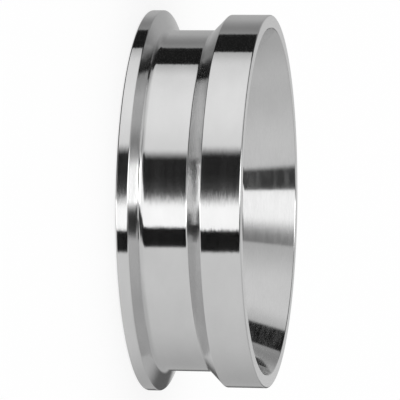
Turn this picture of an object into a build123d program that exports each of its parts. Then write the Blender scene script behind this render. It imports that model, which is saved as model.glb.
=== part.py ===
"""Sanitary clamp ferrule: one turned stainless steel ring that joins a clamped
sanitary line to a larger welded pipe.

The ring stands on its sealing face, with +Z along the bore towards the weld end and
the origin at the centre of the sealing face. From the bottom up its outside is a thin
clamp flange with a sloping back, a straight neck that leaves room for the clamp, a
conical shoulder and a collar that matches the outside of the pipe. Inside, a straight
bore opens through a cone to the inside of the pipe. All sizes are in millimetres.
"""

from build123d import *
import os
from math import radians, sqrt, tan

# Bore and walls: every radius is built outwards from the bore.
bore_diameter = 72.9
neck_wall = 4.3
flange_height = 4.75  # from the neck out to the rim
collar_height = 3.7  # from the neck out to the collar
weld_end_wall = 3.05  # wall of the pipe that is welded on

# Lengths along the axis.
overall_length = 28.6
rim_thickness = 2.85
collar_length = 9.3

# Angles, in degrees.
flange_back_angle = 20.0  # of the clamp's bearing face, from the plane of the flange
shoulder_angle = 45.0  # of the shoulder, from the axis
cone_angle = 21.5  # of the inner cone, from the axis

# Gasket groove in the sealing face: a shallow round-bottomed ring.
groove_offset = 5.25  # from the wall of the bore to the middle of the groove
groove_depth = 1.6
groove_arc_radius = 2.38

# Rounded corners.
neck_fillet = 1.6  # where the flange's back meets the neck
shoulder_fillet = 0.8  # where the neck meets the shoulder
rim_edge_radius = 0.35
collar_edge_radius = 0.35
mouth_edge_radius = 0.35
bore_edge_radius = 0.2
cone_blend_radius = 2.0  # where the cone runs into the bore
groove_edge_radius = 0.2

# Radii from the axis.
bore_radius = bore_diameter / 2
neck_radius = bore_radius + neck_wall
rim_radius = neck_radius + flange_height
collar_radius = neck_radius + collar_height
mouth_radius = collar_radius - weld_end_wall
groove_radius = bore_radius + groove_offset

# Heights above the sealing face.
flange_back_height = rim_thickness + flange_height * tan(radians(flange_back_angle))
collar_start = overall_length - collar_length
shoulder_start = collar_start - collar_height / tan(radians(shoulder_angle))
cone_start = overall_length - (mouth_radius - bore_radius) / tan(radians(cone_angle))

# Corners of the section, as (radius, height).
face_inner = (bore_radius, 0)
face_outer = (rim_radius, 0)
rim_back = (rim_radius, rim_thickness)
flange_foot = (neck_radius, flange_back_height)
shoulder_foot = (neck_radius, shoulder_start)
shoulder_top = (collar_radius, collar_start)
end_outer = (collar_radius, overall_length)
end_inner = (mouth_radius, overall_length)
cone_foot = (bore_radius, cone_start)

CORNER_RADII = {
    face_inner: bore_edge_radius,
    face_outer: rim_edge_radius,
    rim_back: rim_edge_radius,
    flange_foot: neck_fillet,
    shoulder_foot: shoulder_fillet,
    shoulder_top: collar_edge_radius,
    end_outer: collar_edge_radius,
    end_inner: mouth_edge_radius,
    cone_foot: cone_blend_radius,
}


def vertex_at(sketch, corner):
    """The sketch's vertex at a (radius, height) corner."""
    return sketch.vertices().sort_by_distance((corner[0], corner[1], 0))[0]


def ring_section():
    """The half section without its groove, as (radius, height) in the XY plane."""
    section = make_face(Polyline(*CORNER_RADII, close=True))
    for corner, radius in CORNER_RADII.items():
        section = fillet(vertex_at(section, corner), radius)
    return section


def cut_gasket_groove(section):
    """The section with its gasket groove, whose two mouth edges are rounded."""
    centre_height = groove_depth - groove_arc_radius
    section -= Pos(groove_radius, centre_height) * Circle(groove_arc_radius)
    half_width = sqrt(groove_arc_radius**2 - centre_height**2)
    for side in (-1, 1):
        edge = (groove_radius + side * half_width, 0)
        section = fillet(vertex_at(section, edge), groove_edge_radius)
    return section


def ferrule():
    """The whole ring, turned about the Z axis from its half section."""
    section = cut_gasket_groove(ring_section())
    return revolve(Plane.XZ * section, Axis.Z)


os.makedirs("parts", exist_ok=True)
ring = ferrule()
ring.label = "ferrule"
export_step(ring, "parts/ferrule.step")
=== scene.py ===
"""Looks of the sanitary clamp ferrule: a turned stainless ring in a white studio.

The ring stands on its flange face at z = 0 with its bore along +Z. The camera looks
across the bore and is rolled so that the bore runs to the right of the picture. All
lengths are in metres and all angles in degrees unless a name says otherwise.
"""
from math import asin, cos, degrees, pi, radians, sin, tan
from typing import NamedTuple

import bpy
from mathutils import Matrix, Vector


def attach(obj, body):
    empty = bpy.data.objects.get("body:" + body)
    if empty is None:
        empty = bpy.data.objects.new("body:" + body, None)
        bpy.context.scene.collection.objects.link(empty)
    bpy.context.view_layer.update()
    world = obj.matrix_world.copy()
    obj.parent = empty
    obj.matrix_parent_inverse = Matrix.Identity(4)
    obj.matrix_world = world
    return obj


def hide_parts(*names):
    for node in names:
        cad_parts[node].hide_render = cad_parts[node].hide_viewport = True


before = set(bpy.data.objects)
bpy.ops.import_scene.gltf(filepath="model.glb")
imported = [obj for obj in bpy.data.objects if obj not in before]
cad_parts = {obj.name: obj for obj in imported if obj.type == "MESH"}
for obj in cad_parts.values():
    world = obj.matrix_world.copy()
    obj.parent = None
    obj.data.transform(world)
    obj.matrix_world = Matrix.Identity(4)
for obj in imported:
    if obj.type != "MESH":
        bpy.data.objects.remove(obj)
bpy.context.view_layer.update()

# ---------------------------------------------------------------- camera
AIM_HEIGHT = 0.01427  # the camera is aimed from this height on the bore's axis
CAMERA_DISTANCE = 0.8515
CAMERA_ELEVATION = 9.75
CAMERA_ROLL = 0.65
FIELD_WIDTH = 0.0956  # what the picture spans at the ring
CAMERA_PAN = 0.18  # turned off the aimed point, so that the ring isn't quite in the middle
CAMERA_TILT = -0.0145
SENSOR = 36.0  # the camera's usual sensor width, in its own millimetres
NEAREST_SEEN = 0.01
FARTHEST_SEEN = 20


def add_camera():
    elevation = radians(CAMERA_ELEVATION)
    roll = radians(CAMERA_ROLL)
    back = Vector((0, -cos(elevation), sin(elevation)))
    right = Vector((0, sin(elevation), cos(elevation)))
    up = Vector((-1, 0, 0))
    right, up = right * cos(roll) + up * sin(roll), up * cos(roll) - right * sin(roll)
    data = bpy.data.cameras.new("camera")
    data.sensor_width = SENSOR
    data.lens = SENSOR * CAMERA_DISTANCE / FIELD_WIDTH
    data.clip_start = NEAREST_SEEN
    data.clip_end = FARTHEST_SEEN
    camera = bpy.data.objects.new("camera", data)
    bpy.context.scene.collection.objects.link(camera)
    pan = Matrix.Rotation(radians(CAMERA_PAN), 3, up)
    tilt = Matrix.Rotation(radians(-CAMERA_TILT), 3, right)
    axes = Matrix((right, up, back)).transposed()
    place = (pan @ tilt @ axes).to_4x4()
    place.translation = Vector((0, 0, AIM_HEIGHT)) + back * CAMERA_DISTANCE
    camera.matrix_world = place
    bpy.context.scene.camera = camera


# ---------------------------------------------------------------- node helpers
class Tree:
    """A few short ways to add nodes and links to one node tree."""

    def __init__(self, tree):
        self.tree = tree
        tree.nodes.clear()

    def add(self, kind, **settings):
        node = self.tree.nodes.new(kind)
        for name, value in settings.items():
            setattr(node, name, value)
        return node

    def put(self, value, socket):
        if isinstance(value, bpy.types.NodeSocket):
            self.tree.links.new(value, socket)
        else:
            socket.default_value = value

    def math(self, operation, *values):
        node = self.add("ShaderNodeMath", operation=operation)
        for value, socket in zip(values, node.inputs):
            self.put(value, socket)
        return node.outputs[0]

    def vector(self, operation, a, b=None):
        """A vector from one or two others, or from one and a number for SCALE."""
        node = self.add("ShaderNodeVectorMath", operation=operation)
        self.put(a, node.inputs[0])
        if b is not None:
            self.put(b, node.inputs["Scale" if operation == "SCALE" else 1])
        return node.outputs[0]

    def map(self, value, low, high, to_low=0.0, to_high=1.0, kind="SMOOTHSTEP"):
        """A value from low to high taken to one from to_low to to_high, and held there."""
        node = self.add("ShaderNodeMapRange", interpolation_type=kind)
        for item, socket in zip((value, low, high, to_low, to_high), node.inputs):
            self.put(item, socket)
        return node.outputs[0]

    def mix(self, factor, a, b):
        """The plain number between a and b."""
        node = self.add("ShaderNodeMix", data_type="FLOAT")
        self.put(factor, node.inputs[0])
        self.put(a, node.inputs[2])
        self.put(b, node.inputs[3])
        return node.outputs[0]

    def end(self, kind, factor, a, b):
        """Ends the tree in an output of this kind, with shader a at 0 and b at 1."""
        shader = self.add("ShaderNodeMixShader")
        for value, socket in zip((factor, a.outputs[0], b.outputs[0]), shader.inputs):
            self.put(value, socket)
        self.put(shader.outputs[0], self.add(kind).inputs["Surface"])


# ---------------------------------------------------------------- studio
# The studio is a world: what the steel mirrors, by direction. "Turn" goes round the
# bore: 0 is beyond the ring, 90 is above it in the picture, 180 is behind the camera
# and 270 is below. "Rise" is how far a direction leans from the flange's plane towards
# the weld end. Each level is how bright the studio is there, where 1 is white.
STRENGTH = 0.96  # of the whole studio
LEAN_FROM, LEAN_TO = -14, 65  # the rises between which the cards' edges lean


class Ramp(NamedTuple):
    """A value that changes smoothly between two rises and is held beyond them."""

    low_rise: float
    high_rise: float
    low_value: float
    high_value: float


class Edge(NamedTuple):
    """An edge of a card: the turn it is at where the rise is 0, how many degrees it leans
    for each degree of rise and how many degrees it is soft. The turn and the softness
    are each a number, a Ramp or a list of these to add up."""

    turn: object
    lean: float
    soft: object


class Card(NamedTuple):
    """A bright or dark card between two edges, how much of what is behind it it covers
    and its level. It may have a gleam: an edge, and how much brighter it is past that."""

    start: Edge
    end: Edge
    cover: object
    level: object
    gleam: tuple = None


FULL_RISE = 34  # where the soft light is fully that of the weld end's side


def rising(low, high):
    """One value at the flange's plane that becomes another towards the weld end."""
    return Ramp(0, FULL_RISE, low, high)


# The soft light all round the bore: its level at a turn of 0, and then the level that it
# goes to past each edge.
FIRST_LEVEL = rising(0.66, 0.62)
STEPS = (
    # It is dim on the far side.
    (Edge(6, 0, 12), rising(0.47, 0.43)),
    (Edge(rising(37, 28), 0, rising(22, 32)), rising(0.27, 0.36)),
    (Edge(61, 0, 30), rising(0.56, 0.46)),
    # A broad light above the ring.
    (Edge(rising(82, 86), 0, rising(16, 28)), rising(0.90, 0.76)),
    (Edge(100, 0, 28), rising(1.01, 0.76)),
    # It is darker towards the camera.
    (Edge(rising(140, 133), 0, rising(44, 38)), rising(0.83, 0.52)),
    (Edge(rising(180, 184), 0, rising(40, 64)), rising(0.76, 0.71)),
    # Below the ring it gets darker still, and then it is back at the first level.
    (Edge(251, 0, 48), rising(0.70, 0.56)),
    (Edge(rising(298, 308), 0, rising(64, 36)), rising(0.47, 0.50)),
    (Edge(rising(347, 351), 0, rising(26, 18)), FIRST_LEVEL),
)

BELOW = Ramp(-42, -18, 1, 0)  # how much the dim side under the flange covers
BELOW_EDGE = Edge(165, 0, 30)
BELOW_LEVELS = (0.12, 0.75)  # before that edge and after it

STRIP_END = Edge(Ramp(34, 42, 195.8, 197.3), -0.2, Ramp(34, 42, 1, 12))
CARDS = (
    # The strip light behind the camera, brightest high up, where it spreads over the top.
    Card(Edge([174.8, Ramp(34, 42, 0, -7.5), Ramp(62, 84, 0, -90)], -0.42,
              Ramp(-10, 34, 8, 16)),
         STRIP_END, 1,
         [Ramp(-28, -17, 1.2, 0), Ramp(-10, 30, 1.31, 1.21), Ramp(34, 42, 0, 0.14),
          Ramp(50, 60, 0, 2.05)]),
    # The black flag between beyond and above, and the dark corner high up beyond it.
    Card(Edge(Ramp(12, 38, 56, 36), 0.06, Ramp(13, 27, 2, 26)),
         Edge(Ramp(22, 42, 77, 58), 0.075, Ramp(22, 36, 1.2, 9)), 1, 0.012),
    Card(Edge(4, 0, 8), Edge(54, 0, 20), Ramp(18, 38, 0, 0.85), 0.05),
    # The wide black flag before the strip light, with some of its light on it.
    Card(Edge(148.8, -0.06, Ramp(-10, 34, 8, 2)), Edge(174.6, -0.46, Ramp(-10, 34, 11, 16)),
         [Ramp(-28, -16, 0, 1), Ramp(20, 50, 0, -1)], Ramp(0, 34, 0.010, 0.056),
         gleam=(Edge(168, -0.4, 18), 0.055)),
    # Two thin dark veils high above the ring.
    Card(Edge(90, 0, 12), Edge(136, 0, 8), Ramp(38, 46, 0, 0.22), 0.05),
    Card(Edge(119, 0, 14), Edge(136, 0, 8), Ramp(38, 46, 0, 0.40), 0.05),
    # The narrow black flag after the strip light.
    Card(STRIP_END, Edge(Ramp(34, 42, 210, 217), -0.12, Ramp(-10, 34, 1.5, 5)),
         Ramp(-34, -20, 0, 1), [Ramp(0, 34, 0.004, 0.055), Ramp(34, 42, 0, -0.025)]),
    # The grey card beyond the ring.
    Card(Edge(343, 0, 10), Edge(353.5, 0, 3), Ramp(14, 26, 1, 0), 0.12),
)


def ray_angles(t):
    """The turn and the rise, in degrees, of the direction in which the world is seen."""
    place = t.add("ShaderNodeTexCoord")
    direction = t.add("ShaderNodeSeparateXYZ")
    t.put(place.outputs["Generated"], direction.inputs[0])
    x, y, z = direction.outputs
    turn = t.math("ARCTAN2", t.math("MULTIPLY", x, -1.0), y)
    turn = t.math("MULTIPLY", turn, degrees(1.0))
    turn = t.math("MODULO", t.math("ADD", turn, 360.0), 360.0)
    rise = t.math("MULTIPLY", t.math("ARCSINE", z), degrees(1.0))
    return turn, rise


def studio_level(t):
    """How bright the studio is in the direction in which it is seen."""
    turn, rise = ray_angles(t)
    leaning = t.math("MINIMUM", t.math("MAXIMUM", rise, LEAN_FROM), LEAN_TO)

    def by_rise(value):
        """What a number, a Ramp or a list of these comes to at this rise."""
        if isinstance(value, Ramp):
            return t.map(rise, *value)
        if isinstance(value, list):
            total = by_rise(value[0])
            for part in value[1:]:
                total = t.math("ADD", total, by_rise(part))
            return total
        return value

    def past(edge):
        """0 before an edge and 1 after it."""
        middle = t.math("MULTIPLY_ADD", leaning, edge.lean, by_rise(edge.turn))
        crossed = t.math("DIVIDE", t.math("SUBTRACT", turn, middle), by_rise(edge.soft))
        return t.map(crossed, -0.5, 0.5)

    level = by_rise(FIRST_LEVEL)
    for edge, next_level in STEPS:
        level = t.mix(past(edge), level, by_rise(next_level))
    level = t.mix(by_rise(BELOW), level, t.mix(past(BELOW_EDGE), *BELOW_LEVELS))
    for card in CARDS:
        between = t.math("MULTIPLY", past(card.start), t.math("SUBTRACT", 1.0, past(card.end)))
        cover = t.math("MULTIPLY", between, by_rise(card.cover))
        card_level = by_rise(card.level)
        if card.gleam:
            edge, gain = card.gleam
            card_level = t.math("MULTIPLY_ADD", past(edge), gain, card_level)
        level = t.mix(cover, level, card_level)
    return level


def light_world():
    """What the steel mirrors is the studio. All else sees plain white."""
    world = bpy.data.worlds.new("studio")
    bpy.context.scene.world = world
    world.use_nodes = True
    t = Tree(world.node_tree)
    studio = t.add("ShaderNodeBackground")
    t.put(studio_level(t), studio.inputs["Color"])
    studio.inputs["Strength"].default_value = STRENGTH
    plain = t.add("ShaderNodeBackground")
    plain.inputs["Color"].default_value = (1, 1, 1, 1)
    path = t.add("ShaderNodeLightPath")
    t.end("ShaderNodeOutputWorld", path.outputs["Is Glossy Ray"], plain, studio)


FLOOR_REACH = 3.0  # from the middle to each side
FLOOR_HEIGHT = -0.0002  # just clear of the ring's face
FLOOR_COLOUR = (0.98, 0.98, 0.98, 1)
FLOOR_PLAIN = 0.75  # how much of what the camera sees is plain white, the rest has shadow


def add_floor():
    mesh = bpy.data.meshes.new("floor")
    corners = [(x * FLOOR_REACH, y * FLOOR_REACH, FLOOR_HEIGHT)
               for x, y in ((-1, -1), (1, -1), (1, 1), (-1, 1))]
    mesh.from_pydata(corners, [], [(0, 1, 2, 3)])
    floor = bpy.data.objects.new("floor", mesh)
    bpy.context.scene.collection.objects.link(floor)
    material = bpy.data.materials.new("pale_floor")
    material.use_nodes = True
    t = Tree(material.node_tree)
    white = t.add("ShaderNodeEmission")
    matte = t.add("ShaderNodeBsdfDiffuse")
    matte.inputs["Color"].default_value = FLOOR_COLOUR
    path = t.add("ShaderNodeLightPath")
    share = t.math("MULTIPLY", path.outputs["Is Camera Ray"], FLOOR_PLAIN)
    t.end("ShaderNodeOutputMaterial", share, matte, white)
    mesh.materials.append(material)
    floor.visible_glossy = False


# ---------------------------------------------------------------- ring
BORE = 0.03645  # this and the next four are radii
NECK = 0.04075
RIM = 0.0455
COLLAR = 0.04445
MOUTH = 0.0414
LENGTH = 0.0286
RIM_THICKNESS = 0.00285
COLLAR_LENGTH = 0.0093
FLANGE_SLOPE = 20.0  # from the sealing face
SHOULDER_SLOPE = 45.0  # this and the next are from the bore's axis
CONE_SLOPE = 21.5
GROOVE_MIDDLE = 0.0417  # radius at which the gasket groove is deepest
GROOVE_DEPTH = 0.0016
GROOVE_ARC = 0.00238  # radius of the groove's own round section
GROOVE_ARC_STEPS = 12
EDGE_ROUND = 0.00035  # at the rim, the collar and the mouth
FACE_ROUND = 0.0002  # at the bore and the groove
NECK_FILLET = 0.0016
SHOULDER_FILLET = 0.0008
CONE_BLEND = 0.002
ROUND_STEPS = 8  # faces across each rounded corner
TURNS = 360  # faces round the ring


def section():
    """Corners of the ring's section as (radius, height, rounding), anticlockwise."""
    collar_foot = LENGTH - COLLAR_LENGTH
    groove_half = (2 * GROOVE_ARC * GROOVE_DEPTH - GROOVE_DEPTH**2) ** 0.5
    corners = [
        (BORE, 0, FACE_ROUND),
        (GROOVE_MIDDLE - groove_half, 0, FACE_ROUND),
    ]
    start = asin(groove_half / GROOVE_ARC)
    for i in range(1, GROOVE_ARC_STEPS):
        turn = start * (2 * i / GROOVE_ARC_STEPS - 1)
        corners.append((GROOVE_MIDDLE + GROOVE_ARC * sin(turn),
                        GROOVE_DEPTH - GROOVE_ARC + GROOVE_ARC * cos(turn), 0))
    flange_top = RIM_THICKNESS + (RIM - NECK) * tan(radians(FLANGE_SLOPE))
    shoulder_foot = collar_foot - (COLLAR - NECK) / tan(radians(SHOULDER_SLOPE))
    cone_foot = LENGTH - (MOUTH - BORE) / tan(radians(CONE_SLOPE))
    corners += [
        (GROOVE_MIDDLE + groove_half, 0, FACE_ROUND),
        (RIM, 0, EDGE_ROUND),
        (RIM, RIM_THICKNESS, EDGE_ROUND),
        (NECK, flange_top, NECK_FILLET),
        (NECK, shoulder_foot, SHOULDER_FILLET),
        (COLLAR, collar_foot, EDGE_ROUND),
        (COLLAR, LENGTH, EDGE_ROUND),
        (MOUTH, LENGTH, EDGE_ROUND),
        (BORE, cone_foot, CONE_BLEND),
    ]
    return corners


def outline():
    """Points round the section with their outward normals, both as (radius, height)."""
    corners = section()
    points = []
    for i, (radius, height, rounding) in enumerate(corners):
        here = Vector((radius, height))
        before = (Vector(corners[i - 1][:2]) - here).normalized()
        after = (Vector(corners[(i + 1) % len(corners)][:2]) - here).normalized()
        out_before = Vector((-before.y, before.x))
        out_after = Vector((after.y, -after.x))
        if not rounding:
            points.append((here, (out_before + out_after).normalized()))
            continue
        half = before.angle(after) / 2
        middle = here + (before + after).normalized() * rounding / sin(half)
        convex = (before + after).dot(out_before) < 0
        for step in range(ROUND_STEPS + 1):
            share = step / ROUND_STEPS
            normal = out_before.slerp(out_after, share).normalized()
            points.append((middle + normal * (rounding if convex else -rounding), normal))
    return points


def turn_ring():
    """The ring as one closed mesh of even quads, with the exact normals of the turning."""
    points = outline()
    count = len(points)
    vertices, normals, faces = [], [], []
    for i in range(TURNS):
        across, along = cos(2 * pi * i / TURNS), sin(2 * pi * i / TURNS)
        for place, normal in points:
            vertices.append((place.x * across, place.x * along, place.y))
            normals.append((normal.x * across, normal.x * along, normal.y))
        nearby = (i + 1) % TURNS
        for j in range(count):
            k = (j + 1) % count
            faces.append((i * count + j, nearby * count + j, nearby * count + k, i * count + k))
    mesh = bpy.data.meshes.new("turned_ring")
    mesh.from_pydata(vertices, [], faces)
    mesh.validate()
    mesh.polygons.foreach_set("use_smooth", [True] * len(mesh.polygons))
    mesh.normals_split_custom_set_from_vertices(normals)
    ring = bpy.data.objects.new("turned_ring", mesh)
    bpy.context.scene.collection.objects.link(ring)
    return ring


# ---------------------------------------------------------------- steel
GREY = (0.73, 0.73, 0.73, 1)
# Marks of the lathe and of polishing: how wide, how long the way the ring was turned, and
# how much smaller detail they have.
FINE_MARKS = (0.00014, 0.0017, 2)
BROAD_MARKS = (0.0010, 0.030, 2)
SMUDGES = (0.0011, 0.0070, 3)
CLOUDS = (0.006, 0.012, 3)
MOST_NOISE = (0.3, 0.7)  # where nearly all values of the noise are
# How far a surface faces away from the bore: not outside to the one, outside from the other.
FACING = (-0.1, 0.1)

FINE_TILT = 0.025  # how far a fine mark tilts the surface along the bore, as a slope
FINE_TILT_AROUND = 0.08  # the share of that tilt that is round the bore
FINE_DEPTH = 0.000003  # how deep the fine marks are
FINE_SHADE = (0.985, 1.015)
CLOUD_SHADE = (-0.03, 0.03)
BRIGHT_ROUGHNESS = (0.08, 0.11)
HAZY_ROUGHNESS = 0.45
STREAKING = 1.0  # how much rougher the steel is across the marks than along them
STREAKING_TURN = 0.25  # a quarter turn, since the tangent runs along the marks
# How much of the steel is hazy: from a noise value to another, from a share to another.
SMUDGE_HAZE = (0.35, 0.68, 0.0, 0.12)
FINE_HAZE = (0.35, 0.75, 0.0, 0.03)


def make_steel():
    """Turned outside, where fine marks run round the ring, and hand polished inside."""
    material = bpy.data.materials.new("turned_stainless")
    material.use_nodes = True
    t = Tree(material.node_tree)
    place = t.add("ShaderNodeTexCoord")
    split = t.add("ShaderNodeSeparateXYZ")
    t.put(place.outputs["Object"], split.inputs[0])
    x, y, height = split.outputs
    radius = t.math("SQRT", t.math("ADD", t.math("MULTIPLY", x, x), t.math("MULTIPLY", y, y)))
    across = t.math("DIVIDE", x, radius)
    along = t.math("DIVIDE", y, radius)

    def marks(width, length, detail):
        """Noise of marks this wide, each about this long the way the ring was turned."""
        ring_place = t.add("ShaderNodeCombineXYZ")
        t.put(t.math("DIVIDE", radius, width), ring_place.inputs[0])
        t.put(t.math("DIVIDE", height, width), ring_place.inputs[1])
        t.put(t.math("MULTIPLY", across, RIM / length), ring_place.inputs[2])
        noise = t.add("ShaderNodeTexNoise", noise_dimensions="4D")
        t.put(ring_place.outputs[0], noise.inputs["Vector"])
        t.put(t.math("MULTIPLY", along, RIM / length), noise.inputs["W"])
        noise.inputs["Scale"].default_value = 1.0
        noise.inputs["Detail"].default_value = detail
        return noise.outputs[0]

    def spread(noise, low, high):
        """Noise taken evenly to values from low to high."""
        return t.map(noise, *MOST_NOISE, low, high, "LINEAR")

    fine = marks(*FINE_MARKS)
    broad = marks(*BROAD_MARKS)
    smudge = marks(*SMUDGES)
    cloud = marks(*CLOUDS)

    around = t.add("ShaderNodeTangent", direction_type="RADIAL", axis="Z").outputs[0]
    surface = t.add("ShaderNodeNewGeometry").outputs["Normal"]
    outwards = t.add("ShaderNodeCombineXYZ")
    t.put(across, outwards.inputs[0])
    t.put(along, outwards.inputs[1])
    facing = t.add("ShaderNodeVectorMath", operation="DOT_PRODUCT")
    t.put(surface, facing.inputs[0])
    t.put(outwards.outputs[0], facing.inputs[1])
    outside = t.map(facing.outputs["Value"], *FACING)

    tilt = t.math("MULTIPLY", outside, spread(fine, -FINE_TILT, FINE_TILT))
    along_bore = t.vector("SCALE", t.vector("CROSS_PRODUCT", surface, around), tilt)
    round_bore = t.vector("SCALE", around, t.math("MULTIPLY", tilt, FINE_TILT_AROUND))
    tilted = t.vector("ADD", surface, t.vector("ADD", along_bore, round_bore))
    bump = t.add("ShaderNodeBump")
    bump.inputs["Strength"].default_value = 1.0
    bump.inputs["Distance"].default_value = FINE_DEPTH
    t.put(fine, bump.inputs["Height"])
    t.put(t.vector("NORMALIZE", tilted), bump.inputs["Normal"])

    shade = t.math("ADD", spread(fine, *FINE_SHADE), spread(cloud, *CLOUD_SHADE))
    tint = t.add("ShaderNodeMix", data_type="RGBA", blend_type="MULTIPLY")
    tint.inputs[0].default_value = 1.0
    tint.inputs[6].default_value = GREY
    t.put(shade, tint.inputs[7])

    def metal(roughness):
        shader = t.add("ShaderNodeBsdfPrincipled")
        t.put(tint.outputs[2], shader.inputs["Base Color"])
        shader.inputs["Metallic"].default_value = 1.0
        t.put(roughness, shader.inputs["Roughness"])
        t.put(bump.outputs[0], shader.inputs["Normal"])
        return shader

    bright = metal(spread(broad, *BRIGHT_ROUGHNESS))
    bright.inputs["Anisotropic"].default_value = STREAKING
    bright.inputs["Anisotropic Rotation"].default_value = STREAKING_TURN
    t.put(around, bright.inputs["Tangent"])
    hazy = metal(HAZY_ROUGHNESS)
    haze = t.mix(outside, t.map(smudge, *SMUDGE_HAZE), t.map(fine, *FINE_HAZE))
    t.end("ShaderNodeOutputMaterial", haze, bright, hazy)
    return material


add_camera()
light_world()
add_floor()
steel = make_steel()
ring = turn_ring()
ring.data.materials.append(steel)
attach(ring, "root")
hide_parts("ferrule")

bpy.context.scene.view_settings.view_transform = "Standard"
